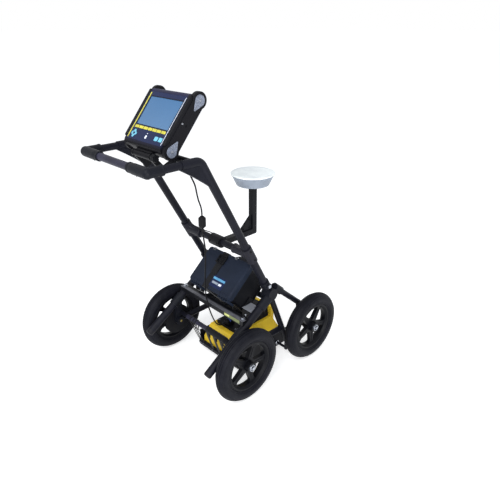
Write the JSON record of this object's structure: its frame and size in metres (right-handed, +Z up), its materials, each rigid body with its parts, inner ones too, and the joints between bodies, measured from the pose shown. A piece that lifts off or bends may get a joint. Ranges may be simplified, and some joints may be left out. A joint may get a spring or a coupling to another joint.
{
  "type": "ground penetrating radar cart",
  "caption": "Push cart of bent tube on spoked wheels, carrying a radar antenna on a skid, a battery box, a satellite antenna on a mast and a tilting display by the handle.",
  "frame": {"origin": "on the ground below the middle of the cart's box", "axes": "+X to the operator's right, +Y forwards, +Z up"},
  "size_m": [0.5876, 0.92, 1.2145],
  "materials": {
    "frame_tube": "satin powder coat, near black",
    "frame_fitting": "matt moulded nylon",
    "tee": "matt moulded nylon",
    "end_cap": "matt",
    "shelf": "satin grey paint",
    "strap": "woven webbing",
    "skid": "scuffed sheet plastic",
    "radar_yellow": "satin moulded",
    "cover": "matt",
    "connector": "satin",
    "tray": "bare sheet",
    "battery_box": "fine grain moulded",
    "battery_cell": "matt",
    "bracket": "satin powder coat, black",
    "antenna_foot": "matt moulded",
    "antenna_top": "satin moulded",
    "axle_steel": "turned",
    "bright_steel": "zinc plated",
    "odometer": "matt",
    "cable": "satin jacket",
    "display_case": "matt moulded",
    "bumper": "matt",
    "plate": "satin grey",
    "panel": "satin printed film",
    "screen": "lit screen behind clear glass",
    "key_yellow": "satin",
    "key_cyan": "satin",
    "key_white": "satin",
    "knob": "matt",
    "tyre": "matt rubber",
    "rim": "satin moulded"
  },
  "bodies": {
    "frame": {"handlebar_tube": "frame_tube", "handle_elbows": "frame_fitting", "side_rails": "frame_tube", "tee_fittings": "tee", "cross_tubes": "frame_tube", "apex_fittings": "frame_fitting", "rear_tubes": "frame_tube", "tube_end_caps": "end_cap", "front_legs": "frame_tube", "front_struts": "frame_tube", "axle_hangers": "frame_fitting", "lower_rails": "frame_tube", "shelf_bar": "shelf", "suspension_straps": "strap", "skid_tray": "skid", "radar_housing": "radar_yellow", "radar_cover": "cover", "radar_connectors": "connector", "battery_tray": "tray", "battery_case": "battery_box", "battery": "battery_cell", "battery_lid": "battery_box", "battery_strap": "strap", "gps_bracket": "bracket", "gps_base": "antenna_foot", "gps_dome": "antenna_top", "display_mount": "bracket", "axles": "axle_steel", "wheel_bearings": "axle_steel", "fasteners": "bright_steel", "odometer": "odometer", "display_cable": "cable", "inline_connector": "cable", "radar_cable": "cable", "gps_cable": "cable"},
    "display": {"display_shell": "display_case", "display_bumpers": "bumper", "bumper_plates": "plate", "display_panel": "panel", "display_screen": "screen"},
    "knob": {"tilt_knob": "knob"},
    "wheel_rear_left": {"tyre_rear_left": "tyre", "rim_rear_left": "rim"},
    "wheel_rear_right": {"tyre_rear_right": "tyre", "rim_rear_right": "rim"},
    "wheel_front_left": {"tyre_front_left": "tyre", "rim_front_left": "rim"},
    "wheel_front_right": {"tyre_front_right": "tyre", "rim_front_right": "rim"},
    "key_arrow_pad": {"arrow_pad": "key_cyan"},
    "key_select_key": {"select_key": "key_white"},
    "key_left_key": {"left_key": "key_cyan"},
    "key_right_key": {"right_key": "key_cyan"},
    "key_soft_key_1": {"soft_key_1": "key_yellow"},
    "key_soft_key_2": {"soft_key_2": "key_yellow"},
    "key_soft_key_3": {"soft_key_3": "key_yellow"},
    "key_soft_key_4": {"soft_key_4": "key_yellow"},
    "key_soft_key_5": {"soft_key_5": "key_yellow"},
    "key_soft_key_6": {"soft_key_6": "key_yellow"},
    "key_soft_key_7": {"soft_key_7": "key_yellow"}
  },
  "joints": [
    {"name": "wheel_rear_left_spin", "type": "hinge", "parent": "frame", "child": "wheel_rear_left", "pos_m": [-0.255, -0.103, 0.159], "axis": [1, 0, 0], "continuous": true},
    {"name": "wheel_rear_right_spin", "type": "hinge", "parent": "frame", "child": "wheel_rear_right", "pos_m": [0.255, -0.103, 0.159], "axis": [1, 0, 0], "continuous": true},
    {"name": "wheel_front_left_spin", "type": "hinge", "parent": "frame", "child": "wheel_front_left", "pos_m": [-0.255, 0.301, 0.159], "axis": [1, 0, 0], "continuous": true},
    {"name": "wheel_front_right_spin", "type": "hinge", "parent": "frame", "child": "wheel_front_right", "pos_m": [0.255, 0.301, 0.159], "axis": [1, 0, 0], "continuous": true},
    {"name": "display_tilt", "type": "hinge", "parent": "frame", "child": "display", "pos_m": [0, -0.335, 1.016], "axis": [1, 0, 0], "range_deg": [-10, 25]},
    {"name": "tilt_knob_turn", "type": "hinge", "parent": "frame", "child": "knob", "pos_m": [0, -0.335, 1.016], "axis": [1, 0, 0], "range_deg": [-180, 180]},
    {"name": "arrow_pad_press", "type": "slide", "parent": "display", "child": "key_arrow_pad", "axis": [0, 0.766, -0.6428], "range_m": [0, 0.001], "stiffness_N_per_m": 300},
    {"name": "select_key_press", "type": "slide", "parent": "display", "child": "key_select_key", "axis": [0, 0.766, -0.6428], "range_m": [0, 0.001], "stiffness_N_per_m": 300},
    {"name": "left_key_press", "type": "slide", "parent": "display", "child": "key_left_key", "axis": [0, 0.766, -0.6428], "range_m": [0, 0.001], "stiffness_N_per_m": 300},
    {"name": "right_key_press", "type": "slide", "parent": "display", "child": "key_right_key", "axis": [0, 0.766, -0.6428], "range_m": [0, 0.001], "stiffness_N_per_m": 300},
    {"name": "soft_key_1_press", "type": "slide", "parent": "display", "child": "key_soft_key_1", "axis": [0, 0.766, -0.6428], "range_m": [0, 0.001], "stiffness_N_per_m": 300},
    {"name": "soft_key_2_press", "type": "slide", "parent": "display", "child": "key_soft_key_2", "axis": [0, 0.766, -0.6428], "range_m": [0, 0.001], "stiffness_N_per_m": 300},
    {"name": "soft_key_3_press", "type": "slide", "parent": "display", "child": "key_soft_key_3", "axis": [0, 0.766, -0.6428], "range_m": [0, 0.001], "stiffness_N_per_m": 300},
    {"name": "soft_key_4_press", "type": "slide", "parent": "display", "child": "key_soft_key_4", "axis": [0, 0.766, -0.6428], "range_m": [0, 0.001], "stiffness_N_per_m": 300},
    {"name": "soft_key_5_press", "type": "slide", "parent": "display", "child": "key_soft_key_5", "axis": [0, 0.766, -0.6428], "range_m": [0, 0.001], "stiffness_N_per_m": 300},
    {"name": "soft_key_6_press", "type": "slide", "parent": "display", "child": "key_soft_key_6", "axis": [0, 0.766, -0.6428], "range_m": [0, 0.001], "stiffness_N_per_m": 300},
    {"name": "soft_key_7_press", "type": "slide", "parent": "display", "child": "key_soft_key_7", "axis": [0, 0.766, -0.6428], "range_m": [0, 0.001], "stiffness_N_per_m": 300}
  ]
}
